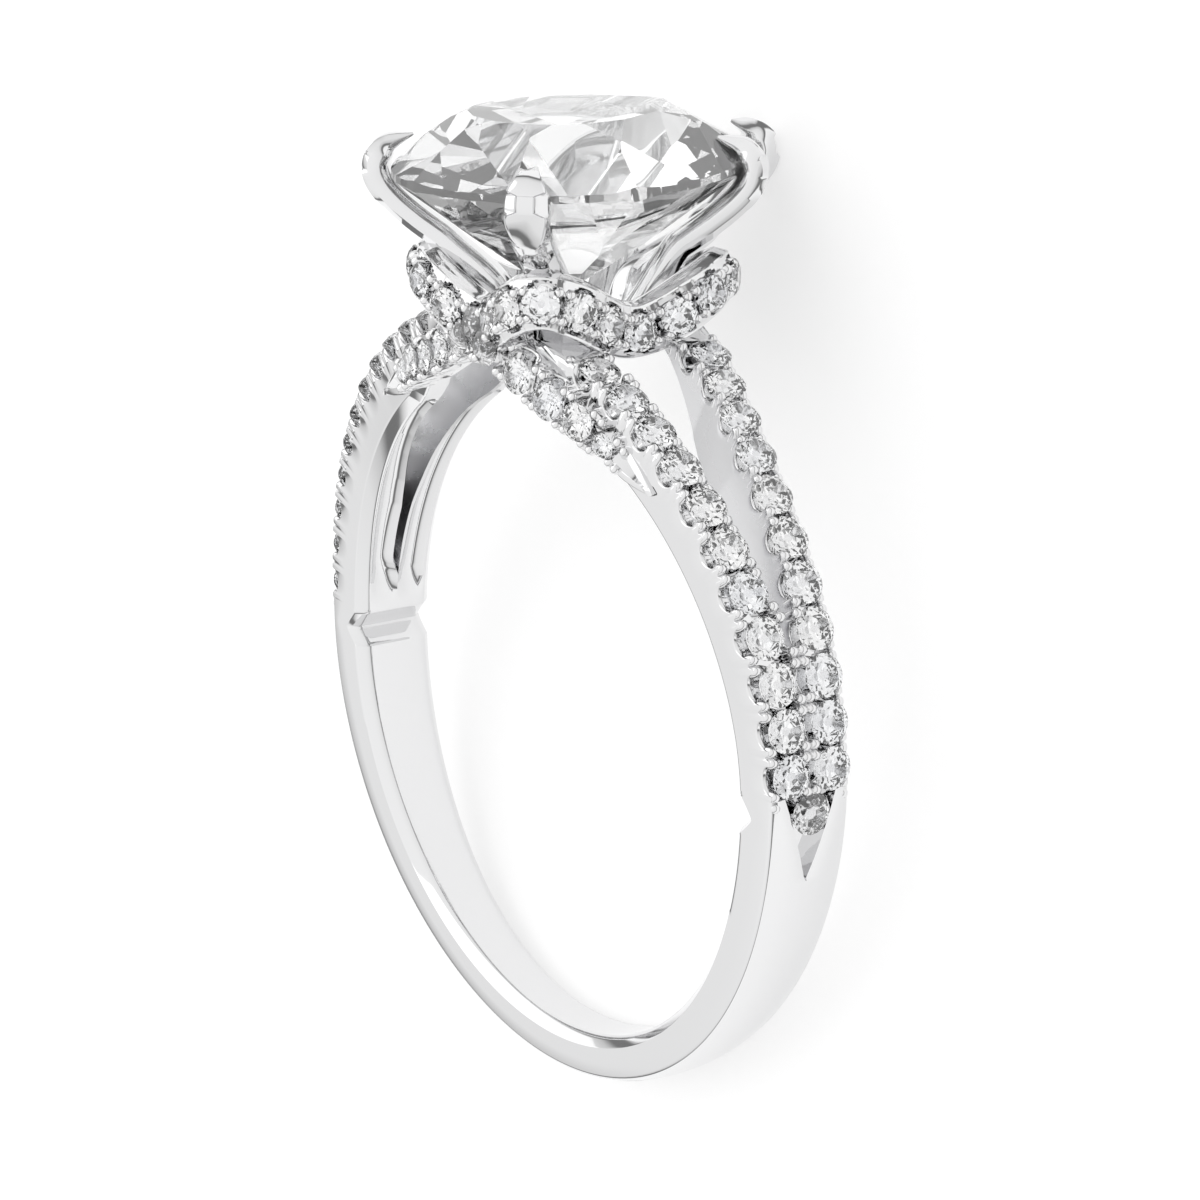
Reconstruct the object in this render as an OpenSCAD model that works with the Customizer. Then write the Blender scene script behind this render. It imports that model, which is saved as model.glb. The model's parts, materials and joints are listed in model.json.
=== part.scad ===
// Split shank ring with a pear-cut stone, lying on its side as it comes to rest.
// Inside the modules the ring stands upright: X runs across it, Y along the finger, Z up to the stone.
// lay_down() turns the finished ring onto its +Y side, so the origin is under the middle of its box.

/* [Shank] */
// inside diameter, the finger size
bore_d = 16.6; // [14:0.2:22]
// metal thickness at the bottom of the ring
bottom_t = 1.2; // [0.9:0.05:2.5]
// how far the outer circle's centre sits above the bore's
outer_lift = 0.36; // [0:0.02:1]
// full width of the shank at the bottom
bottom_w = 1.5; // [1.2:0.1:4]
// full width of the shank at its sides
side_w = 2.24; // [1.8:0.02:5]
// how far the front arm swings out by the top of the bore
front_flare = 0.89; // [0.3:0.01:1.2]
// how far the back arm swings out by the top of the bore
back_flare = 0.3; // [0.1:0.01:0.4]
// rise of the domed outer face over its edges
dome = 0.12; // [0:0.02:0.5]
// depth of the notch inside the bore at each side
notch_t = 0.45; // [0.2:0.05:0.6]

/* [Split arms] */
// width of each arm, one row of stones wide
arm_w = 1.1; // [0.9:0.05:1.8]
// angle above the side where the slit between the arms starts
slit_from = 9; // [4:1:25]
// half width of the gap between the arms' inner ends
arm_end_x = 1.55; // [1.2:0.05:3]
// width of the V-shaped cut under the lowest stone
v_w = 1.4; // [1:0.05:1.6]
// length of the V-shaped cut
v_l = 1.87; // [1.2:0.01:2.4]

/* [Arm stones] */
// stones in each arm's row
row_count = 11; // [5:1:11]
// angle of the lowest stone in a row, above the side
row_from = 6; // [5:0.5:10]
// angle from one stone to the next
row_step = 6.33; // [6.2:0.01:8]
// diameter of each arm stone
pave_d = 0.96; // [0.7:0.02:1]
// from the ring's front face to the middle of the front row
front_in = 0.6; // [0.55:0.01:0.65]
// from the ring's back face to the middle of the back row
back_in = 0.5; // [0.45:0.01:0.6]
// clear gap between a stone and its metal seat
seat_gap = 0.03; // [0.02:0.01:0.08]

/* [Petal collar] */
// radius of the collar at the petals' middles
petal_r = 3.98; // [3.6:0.02:5]
// radius of the collar at the dips between petals
dip_r = 2.93; // [2.7:0.01:3.5]
// height of the petals' stones above the bore's centre
petal_z = 11; // [10.6:0.1:12]
// height of the dips' stones above the bore's centre
dip_z = 10; // [9.8:0.05:10.4]
// height of the collar's band
band_h = 1.4; // [1.2:0.05:1.8]
// stones around the collar, six to a petal
collar_count = 24; // [16:4:24]
// diameter of each collar stone
collar_d = 0.92; // [0.6:0.02:0.94]

/* [Gallery] */
// height of the gallery ribbons' apex above the bore's centre
apex_z = 9.6; // [9.4:0.05:9.8]
// how far forward the apex stands from the ring's middle plane
apex_y = 3.0; // [2.7:0.05:3.4]
// width of each gallery ribbon
ribbon_h = 1.1; // [1:0.05:1.4]
// thickness of each gallery ribbon
ribbon_t = 0.8; // [0.7:0.05:1]
// diameter of each gallery stone
gallery_d = 0.92; // [0.7:0.02:0.96]

/* [Head] */
// width of the pear-cut stone
stone_w = 7.25; // [6:0.05:8]
// length of the pear-cut stone
stone_l = 9.65; // [8:0.05:11]
// how far the pear's round end stands out from the ring's middle plane
stone_front = 4.47; // [3.5:0.01:5]
// height of the girdle above the bore's centre
girdle_z = 13.5; // [13.2:0.1:14.5]
// height of the crown over the girdle
crown_h = 1.35; // [0.8:0.05:1.6]
// depth of the pavilion under the girdle
pavilion_h = 3.05; // [2.4:0.05:3.1]
// table's size as a share of the girdle's
table_share = 0.54; // [0.5:0.01:0.62]
// thickness of each claw from its inner to its outer face
claw_t = 0.7; // [0.5:0.05:0.8]
// width of each claw
claw_w = 1; // [0.7:0.05:1.2]
// clear gap between the stone's edge and the claws
claw_gap = 0.06; // [0.03:0.01:0.12]

/* [Hidden] */
bore_r = bore_d / 2;
// outer circle: its bottom is bottom_t under the bore, its centre is lifted
out_r = bore_r + bottom_t + outer_lift;
low_z = outer_lift - out_r;

// half width of the shank at height z under the side
function low_w(z) = side_w / 2 - (side_w - bottom_w) / 2 * pow(z / low_z, 1.6);
// from the ring's middle plane to its front and back faces: the front arms flare early, the back arms late
function front_w(z) = z < 0 ? low_w(z) : side_w / 2 + front_flare * pow(z / bore_r, 1.75);
function back_w(z) = z < 0 ? low_w(z) : side_w / 2 + back_flare * pow(z / bore_r, 8);
// outer radius measured from the bore's centre, at angle a above the side
function rim(a) = outer_lift * sin(a) + sqrt(pow(out_r, 2) - pow(outer_lift * cos(a), 2));

white_gold = [0.86, 0.86, 0.87];
diamond = [0.93, 0.95, 0.97];

// closed skin over rings of n points each, with flat ends
function skin_faces(rings, n) = concat(
    [[for (i = [n - 1:-1:0]) i]],
    [for (k = [0:rings - 2]) for (i = [0:n - 1]) let (j = (i + 1) % n)
        each [[k * n + i, k * n + j, (k + 1) * n + j], [k * n + i, (k + 1) * n + j, (k + 1) * n + i]]],
    [[for (i = [0:n - 1]) (rings - 1) * n + i]]);
// closed skin over rings that run round to the first again
function loop_faces(rings, n) = [for (k = [0:rings - 1]) for (i = [0:n - 1])
    let (j = (i + 1) % n, m = (k + 1) % rings)
    each [[k * n + i, k * n + j, m * n + j], [k * n + i, m * n + j, m * n + i]]];

// pear outline: a round end toward -Y, two long arcs that meet at the point toward +Y
pear_r = stone_w / 2;
pear_yc = pear_r - stone_front;
pear_side = stone_l - pear_r;
pear_arc = (pow(pear_r, 2) + pow(pear_side, 2)) / stone_w;
pear_turn = asin(pear_side / pear_arc);
// u runs 0..1 from the point, round by +X, the round end and -X, back to the point
function pear_half(t) = t < 0.5
    ? let (a = pear_turn * (1 - t * 2)) [pear_r - pear_arc + pear_arc * cos(a), pear_yc + pear_arc * sin(a)]
    : let (a = (t - 0.5) * 180) [pear_r * cos(a), pear_yc - pear_r * sin(a)];
function pear(u) = let (v = u - floor(u))
    v <= 0.5 ? pear_half(v * 2) : let (p = pear_half((1 - v) * 2)) [-p.x, p.y];
pear_mid = [0, pear_yc + (pear_side - pear_r) / 2];
function toward(p, share) = pear_mid + (p - pear_mid) * share;

// pear brilliant: table, star, kite and girdle facets over a pavilion that ends in a point
module pear_brilliant() {
    girdle = 0.16;
    top = girdle_z + girdle / 2;
    under = girdle_z - girdle / 2;
    rim_n = 32;
    table = [for (k = [0:7]) let (p = toward(pear(k / 8), table_share)) [p.x, p.y, top + crown_h]];
    stars = [for (k = [0:7]) let (p = toward(pear((k + 0.5) / 8), (1 + table_share) / 2 + 0.015))
        [p.x, p.y, top + crown_h * 0.52]];
    upper = [for (i = [0:rim_n - 1]) let (p = pear(i / rim_n)) [p.x, p.y, top]];
    lower = [for (i = [0:rim_n - 1]) let (p = pear(i / rim_n)) [p.x, p.y, under]];
    backs = [for (k = [0:7]) let (p = toward(pear((k + 0.5) / 8), 0.3)) [p.x, p.y, under - pavilion_h * 0.74]];
    pts = concat(table, stars, upper, lower, backs, [[pear_mid.x, pear_mid.y, under - pavilion_h]]);
    u0 = 16; l0 = u0 + rim_n; b0 = l0 + rim_n; tip = b0 + 8;
    polyhedron(pts, concat(
        [[for (k = [0:7]) k]],
        [for (k = [0:7]) [k, 8 + k, (k + 1) % 8]],
        [for (k = [0:7]) each [[k, u0 + 4 * k, 8 + k], [k, 8 + (k + 7) % 8, u0 + 4 * k]]],
        [for (k = [0:7]) for (i = [0:3]) [8 + k, u0 + 4 * k + i, u0 + (4 * k + i + 1) % rim_n]],
        [for (i = [0:rim_n - 1]) let (j = (i + 1) % rim_n)
            each [[u0 + i, l0 + i, l0 + j], [u0 + i, l0 + j, u0 + j]]],
        [for (k = [0:7]) for (i = [0:3]) [b0 + k, l0 + (4 * k + i + 1) % rim_n, l0 + 4 * k + i]],
        [for (k = [0:7]) each [[b0 + k, tip, b0 + (k + 1) % 8], [b0 + k, b0 + (k + 1) % 8, l0 + (4 * k + 4) % rim_n]]]));
}

// small round stone of diameter d, its girdle at the origin and its table toward +Z
module small_stone(d) {
    n = 8;
    ring = function (r, z) [for (i = [0:n - 1]) [r * cos(i * 45 + 22.5), r * sin(i * 45 + 22.5), z]];
    pts = concat(ring(d * 0.28, d * 0.16), ring(d / 2, d * 0.02), ring(d / 2, -d * 0.02), [[0, 0, -d * 0.42]]);
    polyhedron(pts, concat(
        [[for (i = [n - 1:-1:0]) i]],
        [for (k = [0:1]) for (i = [0:n - 1]) let (j = (i + 1) % n)
            [k * n + i, k * n + j, (k + 1) * n + j, (k + 1) * n + i]],
        [for (i = [0:n - 1]) [2 * n + i, 2 * n + (i + 1) % n, 3 * n]]));
}

// puts children at p with their +Z along the unit vector v
module face_out(p, v) {
    translate(p) rotate([0, acos(v.z), atan2(v.y, v.x)]) children();
}

// seats of the arm stones on the +X side: each is [place, outward direction]
function row_y(side, z) = side < 0 ? front_in - front_w(z) : back_w(z) - back_in;
arm_seats = concat(
    [for (side = [-1, 1]) for (i = [0:row_count - 1]) let (a = row_from + i * row_step, z = rim(a) * sin(a))
        [[rim(a) * cos(a), row_y(side, z), z], [cos(a), 0, sin(a)]]],
    [[[rim(0) - 0.02, 0, 0.06], [1, 0, 0]]]);

// collar: four petals on the diagonals, dips on the axes
function wave(a) = (1 - cos(4 * a)) / 2;
function collar_r(a) = dip_r + (petal_r - dip_r) * wave(a);
function collar_z(a) = dip_z + (petal_z - dip_z) * wave(a);
function collar_at(a) = [collar_r(a) * cos(a), collar_r(a) * sin(a), collar_z(a)];
// stones stand at equal steps along the wave, six to a petal
per = collar_count / 4;
run = [for (s = 0, a = 0; a <= 90; s = s + norm(collar_at(a + 1) - collar_at(a)), a = a + 1) s];
function seat_angle(k) = let (q = floor(k / per), want = run[90] * (k % per) / per)
    90 * q + lookup(want, [for (a = [0:90]) [run[a], a]]);
function collar_out(a) = let (t = collar_at(a + 1) - collar_at(a - 1), n = cross(t, [0, 0, 1])) n / norm(n);
collar_seats = [for (k = [0:collar_count - 1]) let (a = seat_angle(k)) [collar_at(a), collar_out(a)]];

// gallery ribbons, side -1 at the front and 1 at the back: outer face, centre height and share of the full width
// at x. Their tails reach tail_x and lie just outside the arms' faces. A table row is [x, drop], in shares of bore_r.
tail_x = bore_r * 0.71;
ribbon_drop = [[0, -0.005], [0.072, 0], [0.217, 0.041], [0.343, 0.096], [0.47, 0.145], [0.542, 0.207],
    [0.627, 0.265], [0.711, 0.316]];
function tail_y(side) = (side < 0 ? front_w(bore_r * 0.96) : back_w(bore_r * 0.96)) + 0.24;
function ribbon_y(side, x) = side * (apex_y - (apex_y - tail_y(side)) * pow(min(abs(x) / tail_x / 0.78, 1), 1.6));
function ribbon_z(x) = apex_z - bore_r * lookup(abs(x) / bore_r, ribbon_drop);
function ribbon_k(x) = min(1, max(0.28, 1 - (abs(x) / tail_x - 0.71) / 0.373));
gallery_x = [0.1, 0.3, 0.485, 0.664];
last_x = 0.79;
function gallery_seats(side) = [for (s = [-1, 1]) each concat(
    [for (t = gallery_x) let (x = s * t * tail_x) [[x, ribbon_y(side, x), ribbon_z(x)], [0, side, 0], gallery_d]],
    [let (x = s * last_x * tail_x) [[x, ribbon_y(side, x), ribbon_z(x) + gallery_d * 0.13], [0, side, 0], gallery_d * 0.6]])];

// claws: two at the round end, two at the shoulders, one at the point
claw_out = claw_t + claw_gap;
function beyond(p, d) = let (v = p - [0, pear_yc], u = v / norm(v)) p + u * d;
claw_feet = [for (s = [1, -1]) let (p = beyond([s * pear_r * cos(39), pear_yc - pear_r * sin(39)], claw_out)) p];
claw_side = [for (s = [1, -1]) let (p = pear_half(0.17), q = beyond(p, claw_out)) [s * (q.x + 0.1), q.y - 0.12]];
claw_tip = [[0, pear_yc + pear_side + claw_out]];
claws = concat(claw_feet, claw_side, claw_tip);
// stations of a claw over the girdle line: [distance in from the outer face, height, thickness share, width share]
claw_line = [
    [0, 0, 1, 1.1], [0, 0, 1, 1.08], [0, 0, 0.95, 0.95], [0.92, -0.82, 0.95, 0.93],
    [0.47, -0.28, 0.98, 1], [0.35, 0.1, 1, 1.05], [0.46, 0.48, 0.86, 0.94], [0.78, 0.7, 0.55, 0.6],
    [1.12, 0.78, 0.14, 0.12]];
// the lowest three stations stand in the collar: [radius, height]
function claw_root(i, far) = [[dip_r * 0.51, dip_z - 0.1], [dip_r * 0.7, dip_z + 0.7],
    [dip_r * 0.7 + (far - dip_r) * 0.46, petal_z + 0.65]][i];
function claw_at(i, far) = i < 3 ? claw_root(i, far) : [far - claw_line[i][0], girdle_z + claw_line[i][1]];
function claw_points(c) = let (far = norm(c), u = c / far, side = [-u.y, u.x],
    line = [for (i = [0:8]) claw_at(i, far)])
    [for (i = [0:8]) let (
        a = line[max(i - 1, 0)], b = line[min(i + 1, 8)], t = (b - a) / norm(b - a),
        hw = claw_w * claw_line[i][3] / 2, ht = claw_t * claw_line[i][2] / 2)
        for (k = [0:7]) let (
            across = cos(k * 45 + 22.5) * 1.06, along = -sin(k * 45 + 22.5) * 1.06,
            dw = hw * across, dt = ht * along,
            r = line[i].x - t.y * dt, z = line[i].y + t.x * dt)
            [u.x * r + side.x * dw, u.y * r + side.y * dw, z]];
module claw(c) { polyhedron(claw_points(c), skin_faces(9, 8)); }

// rest: the ring tips until the point's claw and the bottom of the shank are level
foot = [low_w(low_z), low_z + dome];
tilt = max([for (p = claw_points(claw_tip[0])) atan2(p.y - foot.x, p.z - foot.y)]);
drop = foot.y * sin(tilt) - foot.x * cos(tilt);
far_y = max([for (c = claws) for (p = claw_points(c)) p.z * cos(tilt) + p.y * sin(tilt)]);
near_y = low_z * cos(tilt);
module lay_down() { translate([0, -(far_y + near_y) / 2, -drop]) rotate([tilt - 90, 0, 0]) children(); }

// plain ring: outer outline with a domed face, cut to the width that the side view shows
module ring_blank() {
    steps = 22;
    top = bore_r * 1.25;
    zs = [for (i = [0:steps]) low_z - 0.2 + (top - low_z + 0.2) * i / steps];
    intersection() {
        translate([0, 0, outer_lift]) rotate([90, 0, 0])
            rotate_extrude($fn = 180) polygon([[bore_r - 2, -3.4], [out_r - dome - 0.35, -3.4],
                [out_r - dome, -1.1], [out_r - dome * 0.28, -0.55], [out_r, 0], [out_r - dome * 0.28, 0.55],
                [out_r - dome, 1.1], [out_r - dome - 0.35, 3.4], [bore_r - 2, 3.4]]);
        rotate([90, 0, 90]) linear_extrude(4 * bore_r, center = true)
            polygon(concat([for (z = zs) [back_w(z), z]], [for (i = [steps:-1:0]) [-front_w(zs[i]), zs[i]]]));
    }
}

// slit between the arms, seen from the side
module slit() {
    z0 = bore_r * sin(slit_from);
    zs = [for (i = [0:14]) z0 + (bore_r * 1.33 - z0) * i / 14];
    rotate([90, 0, 90]) linear_extrude(4 * bore_r, center = true) polygon(concat(
        [for (z = zs) [max(0.05, back_w(z) - arm_w), z]],
        [for (i = [14:-1:0]) [-max(0.05, front_w(zs[i]) - arm_w), zs[i]]]));
}

// opening over the bore where the gallery ribbons cross
module window() {
    edge = [[0.488, 0.795], [0.542, 0.916], [0.557, 0.994], [0.47, 1.048], [0.364, 1.108], [0.277, 1.157]];
    rotate([90, 0, 0]) linear_extrude(2 * bore_r, center = true) for (s = [-1, 1]) scale([s, 1])
        polygon(concat([[-0.1, bore_r * 0.72]], edge * bore_r,
            [[arm_end_x, bore_r * 1.2], [arm_end_x, bore_r * 1.45], [-0.1, bore_r * 1.45]]));
}

module notch() {
    rotate([90, 0, 0]) linear_extrude(2 * bore_r, center = true) for (s = [-1, 1]) scale([s, 1])
        polygon([[bore_r - 0.6, 1.1], [bore_r, 0.62], [bore_r + notch_t, -0.12], [bore_r + notch_t, -0.26],
            [bore_r, -0.58], [bore_r - 0.6, -0.7]]);
}

// petal collar: a wavy bowl with a band outside and a round opening under the stone
module collar() {
    n = 72;
    floor_z = dip_z - band_h / 2;
    hole_r = dip_r * 0.375;
    sect = function (a) let (r = collar_r(a), z = collar_z(a), h = band_h / 2) [
        [hole_r, floor_z - 0.05], [dip_r * 0.68, floor_z], [r - 0.42, z - h], [r, z - h * 0.35], [r + 0.02, z + h * 0.25],
        [r - 0.3, z + h], [r - 0.62, z + h - 0.04], [dip_r * 0.6, floor_z + 0.85], [hole_r, floor_z + 0.75]];
    pts = [for (k = [0:n - 1]) let (a = k * 360 / n) for (p = sect(a)) [p.x * cos(a), p.x * sin(a), p.y]];
    polyhedron(pts, loop_faces(n, 9));
}

module ribbon(side) {
    n = 19;
    pts = [for (i = [0:n - 1]) let (x = side * tail_x * (1 - 2 * i / (n - 1)),
        y = ribbon_y(side, x), z = ribbon_z(x), h = ribbon_h * ribbon_k(x) / 2, back = y - side * ribbon_t)
        each [[x, y, z - h], [x, y, z + h], [x, back, z + h], [x, back, z - h]]];
    polyhedron(pts, skin_faces(n, 4));
}

// one cup per arm stone: its wall swells a little past the arm's side faces
module cups(seats, d, deep) {
    for (s = seats) face_out(s[0], s[1]) translate([0, 0, -deep]) cylinder(h = deep + 0.03, r = d / 2 + 0.11, $fn = 24);
}
module pockets(seats, d, deep) {
    for (s = seats) face_out(s[0], s[1]) translate([0, 0, -deep]) cylinder(h = deep + 0.6, r = d / 2 + seat_gap, $fn = 24);
}
module mirror_x() { children(); mirror([1, 0, 0]) children(); }

module mount() color(white_gold) lay_down() difference() {
    union() {
        difference() {
            ring_blank();
            slit();
            window();
        }
        mirror_x() cups([for (i = [0:2 * row_count - 1]) arm_seats[i]], pave_d, 0.62);
        collar();
        for (side = [-1, 1]) ribbon(side);
        for (c = claws) claw(c);
    }
    rotate([90, 0, 0]) cylinder(h = 4 * bore_r, r = bore_r, center = true, $fn = 180);
    notch();
    mirror_x() pockets(arm_seats, pave_d, 0.46);
    mirror_x() rotate([90, 0, 90]) translate([0, v_w * 0.23, rim(0) - 0.42]) linear_extrude(2)
        polygon([[-v_w / 2, 0], [0, -v_l], [v_w / 2, 0]]);
    pockets(collar_seats, collar_d, 0.44);
    for (side = [-1, 1]) for (s = gallery_seats(side)) pockets([s], s[2], 0.44);
}

module centre_stone() color(diamond) lay_down() pear_brilliant();
module stones(seats, d) { for (s = seats) face_out(s[0], s[1]) small_stone(d); }
module arm_stones_right() color(diamond) lay_down() stones(arm_seats, pave_d);
module arm_stones_left() color(diamond) lay_down() mirror([1, 0, 0]) stones(arm_seats, pave_d);
module collar_stones() color(diamond) lay_down() stones(collar_seats, collar_d);
module gallery_stones(side) { for (s = gallery_seats(side)) stones([s], s[2]); }
module gallery_stones_front() color(diamond) lay_down() gallery_stones(-1);
module gallery_stones_back() color(diamond) lay_down() gallery_stones(1);

mount();
centre_stone();
arm_stones_right();
arm_stones_left();
collar_stones();
gallery_stones_front();
gallery_stones_back();
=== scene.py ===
"""Split shank ring: a pear-cut stone in five claws over a petal collar, on two stone-set arms.

Every piece is worked out upright in millimetres, as the ring is worn: X across, Y along the
finger, Z up to the stone, with the finger's axis through the origin. laid() then lays it down
where the frame's bore says.
"""
import json
import math

import bmesh
import bpy
import numpy as np
from mathutils import Matrix, Vector


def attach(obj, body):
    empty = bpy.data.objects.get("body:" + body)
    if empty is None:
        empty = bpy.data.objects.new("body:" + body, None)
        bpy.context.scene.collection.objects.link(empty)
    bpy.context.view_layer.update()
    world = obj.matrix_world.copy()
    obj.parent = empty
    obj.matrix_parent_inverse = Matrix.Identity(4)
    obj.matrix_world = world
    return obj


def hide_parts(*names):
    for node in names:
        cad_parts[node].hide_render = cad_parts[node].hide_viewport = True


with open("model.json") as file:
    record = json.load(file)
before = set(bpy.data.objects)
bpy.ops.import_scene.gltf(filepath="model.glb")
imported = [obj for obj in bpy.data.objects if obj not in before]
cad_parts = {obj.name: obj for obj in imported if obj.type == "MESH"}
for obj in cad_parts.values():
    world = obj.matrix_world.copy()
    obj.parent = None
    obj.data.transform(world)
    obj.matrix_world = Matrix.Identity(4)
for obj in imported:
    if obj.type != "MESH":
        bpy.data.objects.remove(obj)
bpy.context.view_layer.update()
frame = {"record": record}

# Shank and arms
#
# One cast band of white gold, polished by hand. It is plain and domed below, and splits above the
# sides into two arms. Along each row of stones its edges are cut into U-shaped scoops, with a
# sunken seat between the edges.
bore = frame["record"]["mounts"][0]
BORE_R = bore["dims"]["r_mm"]
MM = 0.001
RING_Y = -np.array(bore["axis"])
RING_X = np.array([1.0, 0.0, 0.0])
RING_AXES = np.array([RING_X, RING_Y, np.cross(RING_X, RING_Y)])
DOUBLE, SLIVER = 2e-7, 1e-8    # metres: points this close are merged, edges this short dissolved
GRAIN_SCALE, GRAIN_DEPTH = 2200, 2e-6    # the polish's fine grain, per metre and in metres


def laid(points):
    """Ring millimetres to the frame's metres: turned onto the bore's axes, then moved there."""
    return np.array(bore["pos_m"]) + MM * (np.asarray(points, float) @ RING_AXES)


def weave(rows, columns, close_rows=False, close_columns=False):
    """Quads over a grid numbered row by row; either way may run round to its start again."""
    r = np.arange(rows if close_rows else rows - 1)[:, None]
    c = np.arange(columns if close_columns else columns - 1)[None, :]
    r2, c2 = (r + 1) % rows, (c + 1) % columns
    corners = [r * columns + c, r * columns + c2, r2 * columns + c2, r2 * columns + c]
    return np.stack(np.broadcast_arrays(*corners), -1).reshape(-1, 4)


def caps(rows, columns):
    """The two end faces of a grid whose rows are closed sections."""
    last = (rows - 1) * columns
    return [list(range(columns)), list(range(last, last + columns))]


def by_column(columns, rows):
    """Pairs, each of a number or of one value a row, as two arrays of rows by columns."""
    return [np.stack([np.broadcast_to(pair[k], rows) for pair in columns], 1) for k in (0, 1)]


def made(name, points, faces, finishes, node, crisp=40, inlay=None):
    """A piece from ring millimetres: laid down, doubles merged, faces outwards, and each edge
    over `crisp` degrees kept sharp. `inlay` says which of the finishes each face has."""
    mesh = bpy.data.meshes.new(name)
    mesh.from_pydata(laid(points).reshape(-1, 3).tolist(), [], [list(map(int, f)) for f in faces])
    for finish in finishes:
        mesh.materials.append(finish)
    if inlay is not None:
        mesh.polygons.foreach_set("material_index", np.asarray(inlay, np.int32))
    shape = bmesh.new()
    shape.from_mesh(mesh)
    bmesh.ops.remove_doubles(shape, verts=shape.verts, dist=DOUBLE)
    bmesh.ops.dissolve_degenerate(shape, edges=shape.edges, dist=SLIVER)
    bmesh.ops.recalc_face_normals(shape, faces=shape.faces)
    for face in shape.faces:
        face.smooth = True
    limit = math.radians(crisp)
    for edge in shape.edges:
        edge.smooth = len(edge.link_faces) == 2 and edge.calc_face_angle(0) < limit
    shape.to_mesh(mesh)
    shape.free()
    piece = bpy.data.objects.new(name, mesh)
    bpy.context.collection.objects.link(piece)
    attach(piece, "root")
    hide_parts(node)


def blank(name):
    """A new material, with its nodes, its links and its shader."""
    finish = bpy.data.materials.new(name)
    finish.use_nodes = True
    nodes = finish.node_tree.nodes
    return finish, nodes, finish.node_tree.links, nodes["Principled BSDF"]


def gold(name, shade, rough, grain, stretch):
    """White gold: noise in Object coordinates, stretched along the polishing strokes, drives
    the roughness between two values, and a fine bump."""
    finish, nodes, links, shader = blank(name)
    shader.inputs["Base Color"].default_value = (*shade, 1)
    shader.inputs["Metallic"].default_value = 1
    place = nodes.new("ShaderNodeTexCoord")
    strokes = nodes.new("ShaderNodeMapping")
    strokes.inputs["Scale"].default_value = stretch
    noise = nodes.new("ShaderNodeTexNoise")
    noise.inputs["Scale"].default_value = GRAIN_SCALE
    noise.inputs["Detail"].default_value = 4
    level = nodes.new("ShaderNodeMapRange")
    level.inputs["To Min"].default_value = rough[0]
    level.inputs["To Max"].default_value = rough[1]
    bump = nodes.new("ShaderNodeBump")
    bump.inputs["Strength"].default_value = grain
    bump.inputs["Distance"].default_value = GRAIN_DEPTH
    links.new(place.outputs["Object"], strokes.inputs["Vector"])
    links.new(strokes.outputs["Vector"], noise.inputs["Vector"])
    links.new(noise.outputs["Fac"], level.inputs["Value"])
    links.new(level.outputs["Result"], shader.inputs["Roughness"])
    links.new(noise.outputs["Fac"], bump.inputs["Height"])
    links.new(bump.outputs["Normal"], shader.inputs["Normal"])
    return finish


polished = gold("polished_white_gold", (0.8, 0.8, 0.805), (0.03, 0.1), 0.05, (1, 1, 1))
brushed = gold("brushed_white_gold", (0.76, 0.76, 0.77), (0.2, 0.36), 0.9, (0.25, 0.25, 3))

FRONT, BACK = -1, 1
FOOT_T = 1.2                   # thickness at the bottom
LIFT = 0.36                    # the outer circle's centre over the bore's
OUTER_R = BORE_R + FOOT_T + LIFT
DOME = 0.12                    # rise of the outer face over its edges
SIDE_W, FOOT_W = 1.12, 0.75    # half width at 3 and 9 o'clock, and at the bottom
FOOT_Z, TAPER = 9.5, 1.6       # depth of the bottom, and the power of the taper down to it
FLARE = {FRONT: (0.89, 1.75), BACK: (0.3, 8)}    # each arm's spread at the bore's top, its power
LEAN = ([25, 50], [0, 0.14])   # the front arm's lean at the rim, by angle
EDGE, ROW_EDGE = 0.1, 0.05     # how far edges are rounded on the plain band and along the rows
BEVEL = 0.27                   # bevel between the bore and the side faces
THINNEST = 0.12                # the bevel's least share, where the band thins out at its ends


def rim(a):
    """Radius of the outer face at angle a above the side: a circle whose centre is lifted."""
    return LIFT * np.sin(a) + np.sqrt(OUTER_R**2 - (LIFT * np.cos(a)) ** 2)


def side_face(side, z):
    """From the middle plane to the front or back face at height z: a power of z takes width
    away below the middle, and another adds some above it."""
    below = SIDE_W - (SIDE_W - FOOT_W) * (np.clip(-z, 0, None) / FOOT_Z) ** TAPER
    flare, power = FLARE[side]
    return below + flare * (np.clip(z, 0, None) / BORE_R) ** power


def lean(side, a):
    """How far an arm's face leans in at the rim: evenly more by angle in front, nothing behind."""
    return np.interp(np.degrees(a), *LEAN) * (side == FRONT)


def rim_face(side, a):
    """From the middle plane to the front or back face at the rim, the lean taken off."""
    return side_face(side, rim(a) * np.sin(a)) - lean(side, a)


# the rows: stones at equal steps up each arm, a post between each two; angles in degrees
ROW_COUNT, ROW_FROM, ROW_STEP = 11, 6.0, 6.33
ROWS_START, ROWS_END = 3.2, 72.5
SCOOP = 0.33                   # half a scoop's width, as a share of the step
SCOOP_DEPTH = ([6, 32], [0.3, 0.46])    # by angle
SPLIT = 0.13                   # depth of the cut that splits each post
SPLIT_WIDTH = 0.04             # as a share of the step
SPLIT_FROM, SPLIT_TO = 8, 71
PLATE = 0.2                    # thickness of the standing edges
SEAT_DEPTH = 0.47
V_TIP, V_TOP, V_HALF = -9.6, 3.1, 0.72    # the V-shaped cut under the lowest stone; half width
# depth under the rim of the V's floor and of the rows' seat, by angle
SEAT = np.array([[V_TIP, 0], [-9.3, 0.38], [V_TOP, 0.4], [3.3, SEAT_DEPTH], [72.4, SEAT_DEPTH],
                 [72.6, 0]])


def scoop(phase):
    """0..1, one at a stone and nothing at a post: a half ellipse over the whole numbers."""
    x = (phase - np.round(phase)) / SCOOP
    return np.sqrt(np.clip(1 - x**2, 0, None))


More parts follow.
